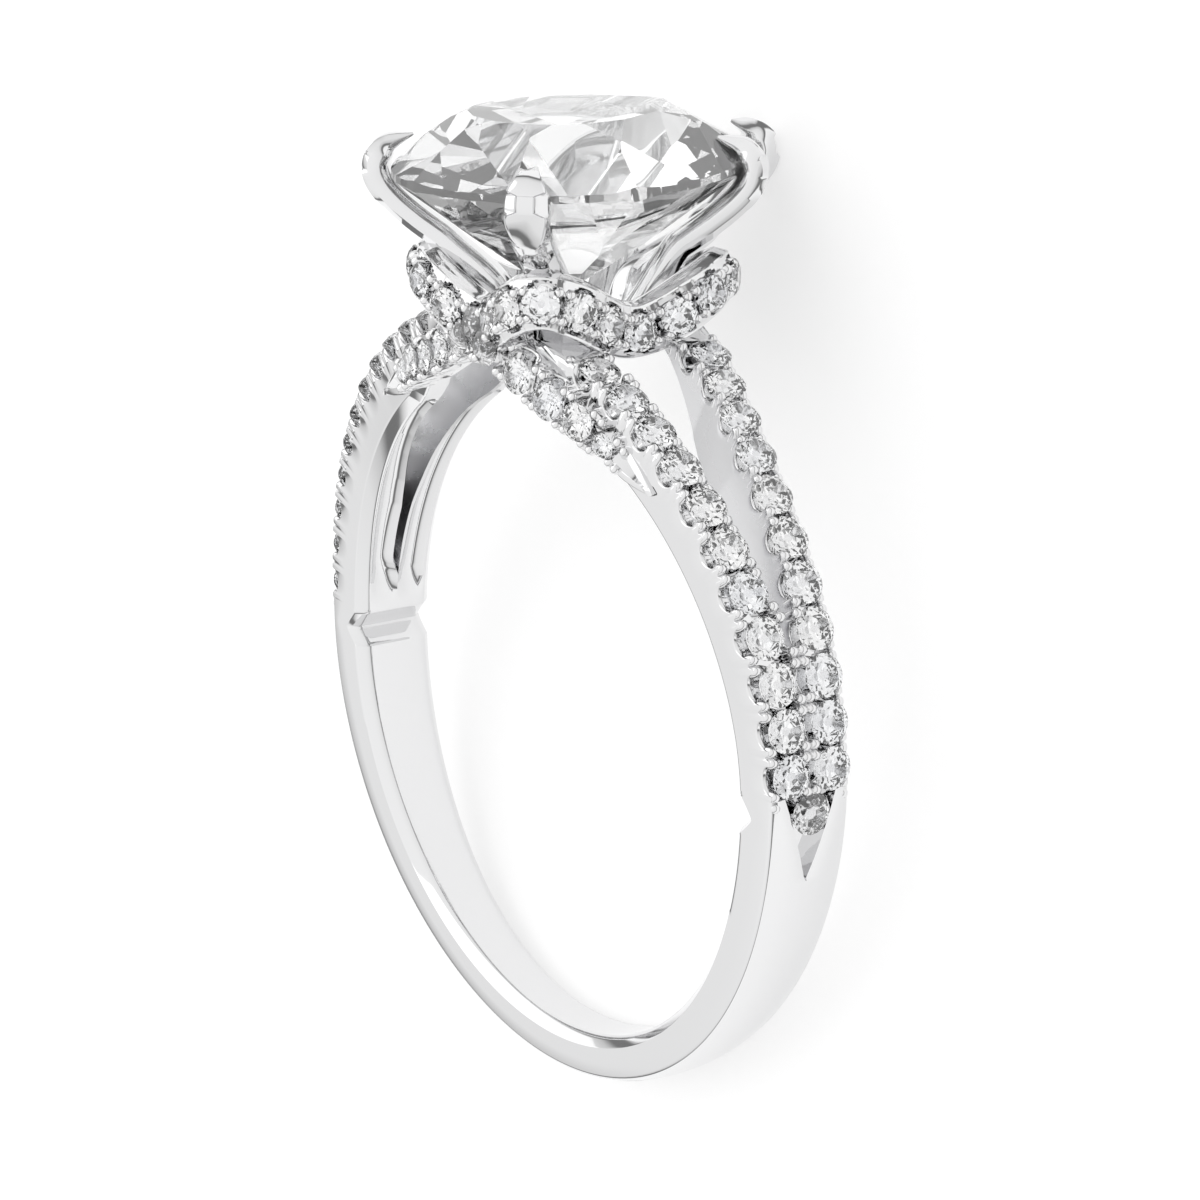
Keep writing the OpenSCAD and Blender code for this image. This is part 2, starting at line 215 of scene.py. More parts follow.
def split(phase):
    """0..1, one in the middle of a post: a narrow bell halfway between the whole numbers."""
    return np.exp(-((0.5 - np.abs(phase - np.round(phase))) / SPLIT_WIDTH) ** 2)


def at_rows(count):
    """Phases of the sections along a row: close together at both lips of each scoop, where they
    follow a cosine, and at each post's middle."""
    lips = SCOOP * -np.cos(np.linspace(0, np.pi, 15))
    lips = np.concatenate([[-0.47, -0.44, -0.4], lips, [0.4, 0.44, 0.47, 0.5]])
    return (np.arange(count)[:, None] + lips[None, :]).ravel()


# inside outline as (angle, rise over the bore): the notch at each side, then the lower edge of
# the arms over the window
INSIDE = np.array([[-3.75, 0], [-3.45, 0.06], [-1.1, 0.42], [-0.7, 0.45], [2.3, 0.04], [2.7, 0],
                   [57, 0], [59.4, 0.06], [62.1, 0.2], [66.5, 0.68], [70.7, 1.12], [74.5, 1.46],
                   [81, 1.8]])
# the slit's half width toward the front and the back arm, by angle, and where it opens
SLIT = np.array([[9, 0, 0], [12, 0.17, 0.03], [24, 0.19, 0.09], [30, 0.33, 0.17],
                 [37, 0.56, 0.22], [43, 0.74, 0.3], [50, 0.92, 0.38], [56, 0.99, 0.56],
                 [63, 0.99, 0.78], [81, 1.0, 0.95]])
SLIT_INSIDE, SLIT_OUTSIDE, SLIT_END = 9.1, 26.0, 4
TROUGH = ([4, 10, 55, 58], [0, 0.24, 0.24, 0])    # along the inside of each arm, by angle

# the sections' angles, closest where the notch, the V, the slit's ends and the stones need them
up_arm = np.unique(np.concatenate([
    np.linspace(-90, -12, 46), np.linspace(-11, 3.3, 26), np.linspace(72.6, 81, 8),
    INSIDE[:8, 0], [V_TIP, V_TOP, 8.9, SLIT_INSIDE, 26.7, 60.75],
    ROW_FROM + ROW_STEP * at_rows(ROW_COUNT)]))
# right side from its end down to the bottom, then up the left side: one sweep round the open ring
sweep_a = np.radians(np.concatenate([up_arm[::-1], up_arm[1:]]))
sweep_x = np.concatenate([np.ones(len(up_arm)), -np.ones(len(up_arm) - 1)])
deg = np.degrees(sweep_a)
inner = BORE_R + np.interp(deg, INSIDE[:, 0], INSIDE[:, 1])


def slit_edge(side, a, r):
    """From the middle plane to the slit's wall: the table's half width, past a rounded end that
    lies at 9 degrees inside and at 26 degrees outside."""
    d = np.degrees(a)
    depth = np.clip((r - BORE_R) / (rim(a) - BORE_R), 0, 1)
    start = SLIT_INSIDE + (SLIT_OUTSIDE - SLIT_INSIDE) * depth
    half = np.interp(d, SLIT[:, 0], SLIT[:, 1 if side == FRONT else 2])
    return half * np.clip((d - start) / SLIT_END, 0, 1) ** 0.6


def band_half(side):
    """One half of the band, swept by angle. Each closed section runs up the side face, over the
    plate, the seat and the ridge beside the slit, down the slit's wall and back along the bore.
    Gives the points, the faces, and each face's finish."""
    a = sweep_a
    full, wall = rim(a), rim_face(side, a)
    phase = (deg - ROW_FROM) / ROW_STEP
    in_rows = (deg > ROWS_START) & (deg < ROWS_END)
    sunk = in_rows | ((deg >= V_TIP) & (deg <= ROWS_START))
    is_split = (deg > SPLIT_FROM) & (deg < SPLIT_TO)
    cut = scoop(phase) * np.interp(deg, *SCOOP_DEPTH) + SPLIT * split(phase) * is_split
    cut = np.where(in_rows, cut, 0)
    # the V-shaped cut widens upward from its tip
    v_half = np.interp(deg, [V_TIP, V_TOP], [0, V_HALF])
    plate = np.where(deg < V_TIP, wall, np.where(in_rows, PLATE, wall - v_half))
    floor = full - np.interp(deg, SEAT[:, 0], SEAT[:, 1])
    # where the slit is shut, the ridges of the two halves are one
    gap = slit_edge(side, a, full)
    ridge = np.where(gap > 0, PLATE, PLATE / 2)
    e = np.where(in_rows, ROW_EDGE, EDGE)

    def outer(t, r):
        """A column at radius r, t in from the side face; the lean grows evenly to the rim."""
        share = np.clip((r - inner) / (full - inner), 0, 1)
        return side * (side_face(side, r * np.sin(a)) - t - lean(side, a) * share), r

    def near_slit(t, r):
        """A column at radius r, t off the slit's wall, but not past the plate."""
        edge = slit_edge(side, a, r)
        return side * np.minimum(edge + t, np.maximum(wall - plate, edge)), r

    def top(t):
        """Radius of the outer face t in from the side face: the rim less a parabola."""
        return full - DOME * ((wall - t) / wall) ** 2

    bevel = BEVEL * np.clip((full - inner) / FOOT_T, THINNEST, 1)
    shoulder, crown = inner + bevel, top(0) - cut
    section = [
        outer(bevel + e, inner), outer(bevel, inner + 0.1 * e), outer(bevel - e, inner + e),
        outer(0.25 * e, shoulder - 0.3 * e), outer(0.0, shoulder), outer(0.0, shoulder + e),
        outer(0.0, 0.55 * shoulder + 0.45 * crown), outer(0.0, crown - 1.2 * e),
        outer(0.15 * e, crown - 0.5 * e), outer(0.5 * e, crown - 0.15 * e), outer(1.2 * e, crown)]

    # over the plate and down to the seat
    inset = np.maximum(plate - 2 * e, 1.25 * e)
    for share in (0.35, 0.7):
        t = 1.2 * e + (inset - 1.2 * e) * share
        section.append(outer(t, top(t) - cut))
    lip = np.where(sunk, e * 0.6, 0)
    section += [outer(inset, top(inset) - cut),
                outer(plate - 0.2 * lip, np.maximum(top(plate) - cut - lip, floor)),
                outer(plate, np.minimum(floor, top(plate)))]
    seat = np.where(sunk, floor, top(wall))
    for share in (0.5, 0.99):
        y = np.maximum((wall - plate) * (1 - share) + (gap + ridge) * share, 0)
        section.append((side * np.minimum(y, np.maximum(wall - plate, 0)), seat))

    # the ridge beside the slit
    crest = np.where(in_rows, full - DOME * (gap / wall) ** 2 - cut, seat)
    soft = np.where(in_rows, e, 0)
    section += [near_slit(ridge, np.maximum(crest - 0.8 * soft, seat)),
                near_slit(ridge - 0.7 * soft, crest), near_slit(1.1 * soft, crest),
                near_slit(0.3 * soft, crest - 0.4 * soft)]

    # the slit's wall, and the bore with its trough
    first_wall = len(section)
    rounded = e * np.clip(slit_edge(side, a, inner) / 0.05, 0, 1)
    for share in (0, 0.12, 0.34, 0.6, 0.85, 1):
        r = (crest - soft) * (1 - share) + (inner + rounded) * share
        section.append((side * slit_edge(side, a, r), r))
    last_wall = len(section) - 1
    trough = np.interp(deg, *TROUGH)
    start = slit_edge(side, a, inner) + rounded
    stop = side_face(side, inner * np.sin(a)) - bevel - e
    for share in (0, 0.16, 0.32, 0.5, 0.68, 0.84):
        y = start * (1 - share) + stop * share
        section.append((side * y, inner + trough * 4 * share * (1 - share)))

    y, r = by_column(section, len(a))
    points = np.stack([sweep_x[:, None] * r * np.cos(a)[:, None], y, r * np.sin(a)[:, None]], -1)
    points = points.reshape(-1, 3)
    faces = weave(len(a), len(section), close_columns=True)
    column = faces[:, 0] % len(section)
    is_wall = (column >= first_wall) & (column < last_wall)
    # where the slit is shut the metal is solid; the two ends are capped under the collar
    kept = ~(is_wall & (np.abs(points[faces][:, :, 1]).max(1) < 1e-6))
    return (points, faces[kept].tolist() + caps(len(a), len(section)),
            is_wall[kept].astype(int).tolist() + [0, 0])


front_points, front_faces, front_inlay = band_half(FRONT)
back_points, back_faces, back_inlay = band_half(BACK)
back_faces = [[i + len(front_points) for i in face] for face in back_faces]
made("shank_and_arms", np.concatenate([front_points, back_points]), front_faces + back_faces,
     [polished, brushed], "mount", inlay=front_inlay + back_inlay)

# Bead claws along the rows
#
# Between each two stones stands a post that is split into two small rounded beads, one leaning on
# each stone. They are raised from the band's own metal, on both of its edges.
BEAD_R = 0.145
BEAD_SPLIT = 0.135             # half the distance between a post's two beads
BEAD_SPOKES = 8
BEAD_IN, BEAD_OFF_SLIT = 0.15, 0.13    # from the side face and from the slit to a bead's middle
BEAD_SINK = 0.09               # how deep its round head starts under the rim


def unit(rows):
    """Each row divided by its own length."""
    return rows / np.linalg.norm(rows, axis=-1, keepdims=True)


def repeated(faces, size, count):
    """The faces of one shape of `size` points, for `count` copies one after another."""
    return [[i + size * k for i in face] for k in range(count) for face in faces]


def beads(name, feet, ups, height):
    """Short pillars with round heads: a profile of four circles, turned about an upward line at
    each foot, with a pole below and one on top."""
    feet, ups = np.concatenate(feet), np.concatenate(ups)
    around = np.arange(BEAD_SPOKES) * 2 * np.pi / BEAD_SPOKES
    r = BEAD_R * np.array([[1], [1], [0.78], [0.42]])
    z = np.array([[-height], [0], [0.55 * BEAD_R], [0.86 * BEAD_R]]) + 0 * around
    one = np.stack([r * np.cos(around), r * np.sin(around), z], -1).reshape(-1, 3)
    one = np.concatenate([one, [[0, 0, -height], [0, 0, BEAD_R]]])
    side = unit(np.cross(ups, [0.3, 1.0, 0.2]))
    axes = np.stack([side, np.cross(ups, side), ups], 1)
    i = np.arange(BEAD_SPOKES)
    after, low = (i + 1) % BEAD_SPOKES, len(one) - 2
    high = low - BEAD_SPOKES
    faces = weave(len(r), BEAD_SPOKES, close_columns=True).tolist()
    faces += np.stack([after, i, 0 * i + low], 1).tolist()
    faces += np.stack([high + i, high + after, 0 * i + low + 1], 1).tolist()
    made(name, feet[:, None] + one @ axes, repeated(faces, len(one), len(feet)), [polished],
         "mount", crisp=70)


posts = np.radians(ROW_FROM + (np.arange(ROW_COUNT + 1) - 0.5) * ROW_STEP)
feet, ups = [], []
for side in (FRONT, BACK):
    for step in (-BEAD_SPLIT, BEAD_SPLIT):
        a = posts + step / rim(posts)
        up = np.stack([np.cos(a), 0 * a, np.sin(a)], -1)
        wall = rim_face(side, a)
        for y in (wall - BEAD_IN, slit_edge(side, a, rim(a)) + BEAD_OFF_SLIT):
            r = rim(a) - DOME * (y / wall) ** 2 - BEAD_SINK
            foot = np.stack([r * np.cos(a), side * y, r * np.sin(a)], -1)
            for x in (1, -1):
                feet.append(foot * [x, 1, 1])
                ups.append(up * [x, 1, 1])
beads("arm_beads", feet, ups, 0.3)

# Small round stones
#
# Full-cut clear stones of one stock size, each cut from a drum by flat facets, and held
# girdle-deep in its seat. A row lies on each arm, and one more stone in the V under them.
MELEE_D, MELEE_SINK = 1.03, 0.1
MELEE_SIDES = 32
MELEE_SPIN = 2.4               # radians from each stone to the next
ROW_INSET = {FRONT: 0.6, BACK: 0.5}    # from the side face to the middle of the row
V_STONE_SINK, V_STONE_Z = 0.06, 0.06
STONE_INDEX = 2.2              # how strongly the stones bend light
TINT_SCALE = 700               # how often their tint changes, per metre


def clear(name, tint, passed=1.0):
    """Cut stone: clear glass of high index; slow noise in Object coordinates gives each place its
    own tint, and `passed` is the share of light that goes through."""
    finish, nodes, links, shader = blank(name)
    shader.inputs["Transmission Weight"].default_value = passed
    shader.inputs["IOR"].default_value = STONE_INDEX
    shader.inputs["Roughness"].default_value = 0
    place = nodes.new("ShaderNodeTexCoord")
    noise = nodes.new("ShaderNodeTexNoise")
    noise.inputs["Scale"].default_value = TINT_SCALE
    noise.inputs["Detail"].default_value = 1
    ramp = nodes.new("ShaderNodeValToRGB")
    ramp.color_ramp.elements[0].color = (*tint, 1)
    ramp.color_ramp.elements[0].position = 0.35
    ramp.color_ramp.elements[1].color = (1, 1, 1, 1)
    ramp.color_ramp.elements[1].position = 0.6
    links.new(place.outputs["Object"], noise.inputs["Vector"])
    links.new(noise.outputs["Fac"], ramp.inputs["Fac"])
    links.new(ramp.outputs["Color"], shader.inputs["Base Color"])
    return finish


def facet_cut(outline, low, high, facets):
    """A straight-walled block over a closed outline, cut by planes. Each is (azimuth, reach,
    height, slope), and rises by slope inward from reach. Gives points and faces."""
    n = len(outline)
    walls = np.concatenate([np.column_stack([outline, np.full(n, z)]) for z in (low, high)])
    bottom, top = caps(2, n)
    block = bpy.data.meshes.new("block")
    block.from_pydata(walls.tolist(), [],
                      [bottom[::-1], top] + weave(2, n, close_columns=True).tolist())
    shape = bmesh.new()
    shape.from_mesh(block)
    bpy.data.meshes.remove(block)
    for azimuth, reach, height, slope in facets:
        out = Vector((math.cos(azimuth), math.sin(azimuth), 0))
        normal = (out * abs(slope) + Vector((0, 0, math.copysign(1, slope)))).normalized()
        cut = bmesh.ops.bisect_plane(
            shape, geom=shape.verts[:] + shape.edges[:] + shape.faces[:], dist=1e-6,
            plane_co=out * reach + Vector((0, 0, height)), plane_no=normal, clear_outer=True)
        edges = [g for g in cut["geom_cut"] if isinstance(g, bmesh.types.BMEdge)]
        if edges:
            bmesh.ops.contextual_create(shape, geom=edges)
    bmesh.ops.remove_doubles(shape, verts=shape.verts, dist=1e-5)
    shape.verts.index_update()
    points = np.array([v.co[:] for v in shape.verts])
    faces = [[v.index for v in f.verts] for f in shape.faces]
    shape.free()
    return points, faces


def full_cut():
    """A round stone of radius 1: 8 mains, 8 stars and 16 breaks above its girdle; 8 mains and 16
    halves below. Each facet's last number is the tangent of its angle."""
    eighth, girdle, crown, pavilion = np.pi / 4, 0.03, 0.3, 0.86
    facets = []
    for k in range(8):
        main, star = k * eighth, (k + 0.5) * eighth
        between = [(k + s * 0.25) * eighth for s in (-1, 1)]
        facets += [(main, 1.0, girdle, 0.72), (star, 0.66, 0.26, 0.42)]
        facets += [(azimuth, 1.0, girdle, 0.88) for azimuth in between]
        facets += [(main, 1.0, -girdle, -0.86)]
        facets += [(azimuth, 1.0, -girdle, -0.92) for azimuth in between]
    t = np.arange(MELEE_SIDES) * 2 * np.pi / MELEE_SIDES
    return facet_cut(np.stack([np.cos(t), np.sin(t)], -1), -pavilion, crown, facets)


melee = clear("clear_melee", (0.95, 0.96, 0.98))
melee_points, melee_faces = full_cut()


def stones(name, node, seats, outs, sizes):
    """The small stone at each seat, its table along `outs`, each turned further than the last."""
    side = unit(np.cross(outs, [0.1, 0.2, 1.0]))
    other = np.cross(outs, side)
    spin = np.arange(len(seats))[:, None] * MELEE_SPIN
    u = side * np.cos(spin) + other * np.sin(spin)
    axes = np.stack([u, np.cross(outs, u), outs], 1)
    half = np.broadcast_to(sizes, len(seats))[:, None, None] / 2
    made(name, seats[:, None] + half * (melee_points @ axes),
         repeated(melee_faces, len(melee_points), len(seats)), [melee], node, crisp=2)


row = np.radians(ROW_FROM + np.arange(ROW_COUNT) * ROW_STEP)
for name, x in (("arm_stones_right", 1), ("arm_stones_left", -1)):
    seats, outs = [], []
    for side in (FRONT, BACK):
        y = side_face(side, rim(row) * np.sin(row)) - ROW_INSET[side]
        r = rim(row) - MELEE_SINK
        seats.append(np.stack([x * r * np.cos(row), side * y, r * np.sin(row)], -1))
        outs.append(np.stack([x * np.cos(row), 0 * row, np.sin(row)], -1))
    seats.append([[x * (rim(0) - V_STONE_SINK), 0, V_STONE_Z]])
    outs.append([[x, 0, 0]])
    stones(name + "_cut", name, np.concatenate(seats), np.concatenate(outs), MELEE_D)

# Petal collar
#
# A cast crown of four petals under the claws. Its band is set with stones like the arms; over the
# band it is polished into a broad rounded lip that slopes down to the open middle.
PETAL, DIP = (3.98, 11.0), (2.93, 10.0)    # (radius, height) of the band's middle line
BAND_H, BULGE = 1.3, 0.2       # the band's height, and how far its plates lie behind its line
WINDOW, WINDOW_DEPTH = 0.3, 0.3    # height and depth of the U-shaped windows beside each stone
LIP = 0.09                     # the whole edge beyond them
COLLAR_SEAT = 0.4
COLLAR_COUNT, COLLAR_STONE_D = 24, 0.92
STONE_SINK = 0.06
COLLAR_BEAD_IN, COLLAR_BEAD_SINK = 0.34, 0.1


def petals(t):
    """Middle line of the band at turn t: radius and height swing between petal and dip by a
    cosine, four times round."""
    w = (1 - np.cos(4 * t)) / 2
    r = DIP[0] + (PETAL[0] - DIP[0]) * w
    return np.stack([r * np.cos(t), r * np.sin(t), DIP[1] + (PETAL[1] - DIP[1]) * w], -1)


fine = np.linspace(0, 2 * np.pi, 1441)
run = np.concatenate([[0], np.cumsum(np.linalg.norm(np.diff(petals(fine), axis=0), axis=1))])


def turn_at(phase):
    """The turn at a phase counted in stones, at equal steps along the middle line."""
    return np.interp(np.mod(phase, COLLAR_COUNT) / COLLAR_COUNT * run[-1], run, fine)


def directions(way, at):
    """Level direction away from the ring's middle, and upward direction, where a band that runs
    along `way` passes `at`: cross products, turned round where they point in or down."""
    along = unit(way)
    out = unit(np.cross(along, [0, 0, 1.0]))
    out *= np.sign((out * at * [1, 1, 0]).sum(1, keepdims=True))
    up = np.cross(out, along)
    return out, up * np.sign(up[:, 2:])


def facing(path, at, chord):
    """Points of a path, with their directions by a short chord to either side."""
    spots = path(at)
    return spots, *directions(path(at + chord) - path(at - chord), spots)


def carried(line, out, up, columns):
    """A section of (height, outward) columns carried along a line."""
    b, n = by_column(columns, len(line))
    return line[:, None] + up[:, None] * b[..., None] + out[:, None] * n[..., None]


phase = at_rows(COLLAR_COUNT)
t = turn_at(phase)
line = petals(t)
way = np.gradient(petals(np.concatenate([t[-1:], t, t[:1]])), axis=0)[1:-1]
off_stone = np.abs(phase - np.round(phase)) / SCOOP
# from the edge inward: rounded lip, then the windows' round ends, and on down to the seat
half = BAND_H / 2
edge = [(half, -BULGE - 0.12), (half - 0.01, -BULGE - 0.05), (half - 0.04, -BULGE),
        (half - LIP, -BULGE)]
for share in (0.05, 0.2, 0.4, 0.65, 1.0):
    in_window = off_stone < math.sqrt(1 - (1 - share) ** 2)
    edge.append((half - LIP - WINDOW * share, -BULGE + 0.12 * share - WINDOW_DEPTH * in_window))
band = carried(line, *directions(way, line),
               [(-b, n) for b, n in edge] + [(0.0, -COLLAR_SEAT)] + edge[::-1])
# then, as (radius, height), over the lip, down the inside, round the bottom and back out
radius, middle_z = np.hypot(line[:, 0], line[:, 1]), line[:, 2]
top_z = middle_z + half
r, z = by_column(
    [(radius - 0.42, top_z + 0.02), (radius - 0.56, top_z + 0.05), (radius - 0.74, top_z - 0.02),
     (radius * 0.55 + 0.55, top_z * 0.6 + 10.25 * 0.4 - 0.05), (1.75, 10.15), (1.15, 10.0),
     (1.1, 9.9), (1.1, 9.35), (1.2, 9.25), (2.0, 9.3), (radius - 0.6, middle_z - half - 0.02)],
    len(t))
lip = np.stack([r * np.cos(t)[:, None], r * np.sin(t)[:, None], z], -1)
points = np.concatenate([band, lip], 1)
made("petal_collar", points, weave(*points.shape[:2], close_rows=True, close_columns=True),
     [polished], "mount")

feet, ups = [], []
for step in (-BEAD_SPLIT, BEAD_SPLIT):
    post = np.arange(COLLAR_COUNT) + 0.5 + step / (run[-1] / COLLAR_COUNT)
    spot, out, up = facing(petals, turn_at(post), 0.01)
    for edge in (-1, 1):
        feet.append(spot + up * edge * (half - COLLAR_BEAD_IN) - out * COLLAR_BEAD_SINK)
        ups.append(out)
beads("collar_beads", feet, ups, 0.3)
spot, out, up = facing(petals, turn_at(np.arange(COLLAR_COUNT)), 0.01)
stones("collar_stones_cut", "collar_stones", spot - out * STONE_SINK, out, COLLAR_STONE_D)

# Gallery ribbons
#
# Two stone-set ribbons cross the opening over the finger, front and back. Each ends in a plain
# pointed leaf that is soldered to the arm's face.
TAIL_X = BORE_R * 0.71
APEX_Y, APEX_Z = 3.0, 9.6
# how far the ribbon has dropped at a distance from the middle
DROP = np.array([[0, -0.06], [0.6, 0], [1.2, 0.22], [1.75, 0.5], [2.7, 0.94], [3.6, 1.24],
                 [4.36, 1.66], [5.2, 2.2], [5.9, 2.62]])
RIBBON_H, RIBBON_T, RIBBON_SEAT = 1.06, 0.72, 0.4
RIBBON_EDGE, RIBBON_PLATE, RIBBON_SCOOP = 0.05, 0.17, 0.4
RIBBON_X = np.array([0.1, 0.294, 0.462, 0.62, 0.75]) * TAIL_X
RIBBON_SEATS = np.concatenate([-RIBBON_X[::-1], RIBBON_X])
LAST_STONE_D = 0.6
RIBBON_SPLIT, RIBBON_BEAD_IN, RIBBON_BEAD_SINK = 0.12, 0.1, 0.2
# where the tail starts to sink in, the last post, the end of the stones, the leaf's start
SINK_X, POST_X, SET_X, LEAF_X = 4.7, 4.75, 4.8, 4.85
PULL_TO, PULL = 0.78, 1.6      # share of the way to the tail where the pull back ends, its power
TAIL_OFF, LEAF_OFF = 0.22, 0.02    # how far it then stands off the arm's face, and the leaf does
EDGE_LOW, LEAF_LOW = 0.14, 0.22    # how far its edges lie behind its line, and the leaf's start
NARROWING = ([4, 4.85], [1, 0.7])  # share of the full height, by distance from the middle
LEAF_TAPER, LEAF_POWER = 0.9, 1.5
SMOOTH = 6                     # sections to either side over which the directions are evened out


def ribbon(side, x):
    """Middle line of a ribbon's outer face: pulled back toward the arm as a power of x, dropping
    by the table, and led onto the arm's face at its tail."""
    z = APEX_Z - np.interp(np.abs(x), DROP[:, 0], DROP[:, 1])
    tail = side_face(side, BORE_R * 0.96) + TAIL_OFF
    y = APEX_Y - (APEX_Y - tail) * np.minimum(np.abs(x) / TAIL_X / PULL_TO, 1) ** PULL
    sink = np.clip((np.abs(x) - SINK_X) / (TAIL_X - SINK_X), 0, 1)
    y = y * (1 - sink) + (side_face(side, z) + LEAF_OFF) * sink
    return np.stack([x, side * y, z], -1)


def ribbon_half(x):
    """Half the ribbon's height: it narrows evenly toward the leaf."""
    return RIBBON_H / 2 * np.interp(np.abs(x), *NARROWING)


count = np.arange(len(RIBBON_SEATS))
tail_x = np.linspace(SET_X, TAIL_X, 10)
x = np.interp(at_rows(len(count)), count, RIBBON_SEATS)
x = np.unique(np.concatenate([x, tail_x, -tail_x]))
is_set = np.abs(x) < SET_X
leaf = np.clip((np.abs(x) - LEAF_X) / (TAIL_X - LEAF_X), 0, 1)
half = ribbon_half(x) * (1 - LEAF_TAPER * leaf**LEAF_POWER)
cut = scoop(np.interp(x, RIBBON_SEATS, count)) * RIBBON_SCOOP * is_set
low = -np.where(leaf > 0, LEAF_LOW * (1 - leaf), EDGE_LOW) - cut
seat = -RIBBON_SEAT * is_set
# from the edge inward: rounded edge, scooped plate, and down to the seat
e = RIBBON_EDGE
edge = [(half, low - 1.2 * e), (half - 0.2 * e, low - 0.4 * e), (half - e, low),
        (half - RIBBON_PLATE, low), (half - RIBBON_PLATE - 0.02, np.minimum(low, seat))]
columns = [(-b, n) for b, n in edge] + [(0.0, seat)] + edge[::-1]
columns = [(np.clip(b, -half, half), n) for b, n in columns]
columns += [(half, -RIBBON_T), (-half, -RIBBON_T)]
own_posts = np.interp(np.arange(len(count) + 1) - 0.5, count, RIBBON_SEATS)
own_posts[0], own_posts[-1] = -POST_X, POST_X
stone_sizes = np.where(np.abs(RIBBON_SEATS) > 4, LAST_STONE_D, COLLAR_STONE_D)

feet, ups = [], []
for side, name in ((FRONT, "front"), (BACK, "back")):
    line = ribbon(side, x)
    near = np.arange(len(x)) + np.arange(-SMOOTH, SMOOTH + 1)[:, None]
    smooth = line[np.clip(near, 0, len(x) - 1)].mean(0)
    points = carried(line, *directions(np.gradient(smooth, axis=0), smooth), columns)
    made("gallery_ribbon_" + name, points,
         weave(*points.shape[:2], close_columns=True).tolist() + caps(*points.shape[:2]),
         [polished], "mount")
    for step in (-RIBBON_SPLIT, RIBBON_SPLIT):
        at = own_posts + step
        spot, out, up = facing(lambda x: ribbon(side, x), at, 0.05)
        high = (ribbon_half(at) - RIBBON_BEAD_IN)[:, None]
        for edge in (-1, 1):
            feet.append(spot + up * edge * high - out * RIBBON_BEAD_SINK)
            ups.append(out)
    spot, out, up = facing(lambda x: ribbon(side, x), RIBBON_SEATS, 0.05)
    stones("gallery_stones_" + name + "_cut", "gallery_stones_" + name,
           spot - out * STONE_SINK, out, stone_sizes)
beads("ribbon_beads", feet, ups, 0.35)

# Five claws
#
# Cast stems that flare out of the collar and curl over the stone. The head of each is filed into
# a leaf-shaped cap: an oval hollow below, a small raised square, and a pointed top.
STONE_W, STONE_L, STONE_FRONT, GIRDLE_Z = 7.25, 9.65, 4.47, 13.5
PEAR_R = STONE_W / 2
PEAR_Y = PEAR_R - STONE_FRONT
PEAR_SIDE = STONE_L - PEAR_R
PEAR_ARC = (PEAR_R**2 + PEAR_SIDE**2) / STONE_W
PEAR_TURN = math.asin(PEAR_SIDE / PEAR_ARC)
CLAW_W, CLAW_T, CLAW_OUT = 1.0, 0.7, 0.76
# from the stone's widest place, how far down the half circle the front claws stand, and how far
# short of the point, as a share of the way, the back ones; their move to the side and forward
FRONT_TURN, BACK_SHORT, BACK_MOVE = math.radians(39), 0.34, (0.1, -0.12)
# along a claw: distance in from its furthest place, height over the girdle, thickness, width
STEM = np.array([[1.9, -2.02, 0.95, 1.0], [1.57, -1.74, 0.95, 0.97], [1.02, -1.36, 0.95, 0.96],
                 [0.46, -0.9, 0.95, 0.97], [0.12, -0.48, 0.95, 1.0], [0, -0.06, 0.95, 1.04],
                 [0.11, 0.26, 0.9, 0.92], [0.34, 0.5, 0.66, 0.5], [0.9, 0.7, 0.1, 0.05]])
# and its root in the collar, by distance from the middle and height
ROOT = np.array([[DIP[0] * 0.51, 9.9, 1, 1.1], [DIP[0] * 0.68, 10.7, 1, 1.08]])
SQUARE_AT, SQUARE = 0.06, 0.19     # the raised square's middle over the girdle, half its height
RAISED = 0.03                      # its rise; this and the next ones as shares of half the claw
HOLLOW, HOLLOW_DEPTH = 1.0, 0.22   # length of the hollow under the square, in mm, and its depth
LINE_W, LINE_DEPTH = 0.06, 0.06    # the lines between filed faces
NARROW, WIDE, FLANK = 0.42, 0.92, 0.97    # half widths: the square, the hollow, the whole face
SPREAD = 0.12                      # height over which the faces widen from the square
ROUND, INSIDE_ROUND = 2.6, 0.62    # powers that round the plain stem outside and inside


def beyond(x, y):
    """A point of the pear's edge moved straight out by a claw's reach."""
    far = math.hypot(x, y - PEAR_Y)
    return x + x / far * CLAW_OUT, y + (y - PEAR_Y) / far * CLAW_OUT


foot_x, foot_y = beyond(PEAR_R * math.cos(FRONT_TURN), PEAR_Y - PEAR_R * math.sin(FRONT_TURN))
arc = PEAR_TURN * (1 - BACK_SHORT)
side_x, side_y = beyond(PEAR_R - PEAR_ARC + PEAR_ARC * math.cos(arc),
                        PEAR_Y + PEAR_ARC * math.sin(arc))
side_x, side_y = side_x + BACK_MOVE[0], side_y + BACK_MOVE[1]
# each claw's place, and how much further out it reaches
CLAWS = {"claw_front_right": (foot_x, foot_y, 0.17), "claw_front_left": (-foot_x, foot_y, 0.17),
         "claw_back_right": (side_x, side_y, -0.1), "claw_back_left": (-side_x, side_y, -0.1),
         "claw_point": (0, PEAR_Y + PEAR_SIDE + CLAW_OUT, -0.03)}


def spline(values, n):
    """Smooth curve through the rows of a table, n steps a span: a cubic between each two rows,
    whose slope at a row is half the difference of that row's neighbours."""
    v = np.concatenate([[2 * values[0] - values[1]], values, [2 * values[-1] - values[-2]]])
    u = np.linspace(0, 1, n, endpoint=False)[None, :, None]
    a, b, c, d = (v[i:len(v) - 3 + i, None, :] for i in range(4))
    curve = 0.5 * (2 * b + (c - a) * u + (2 * a - 5 * b + 4 * c - d) * u**2
                   + (3 * b - a - 3 * c + d) * u**3)
    return np.concatenate([curve.reshape(-1, values.shape[1]), values[-1:]])


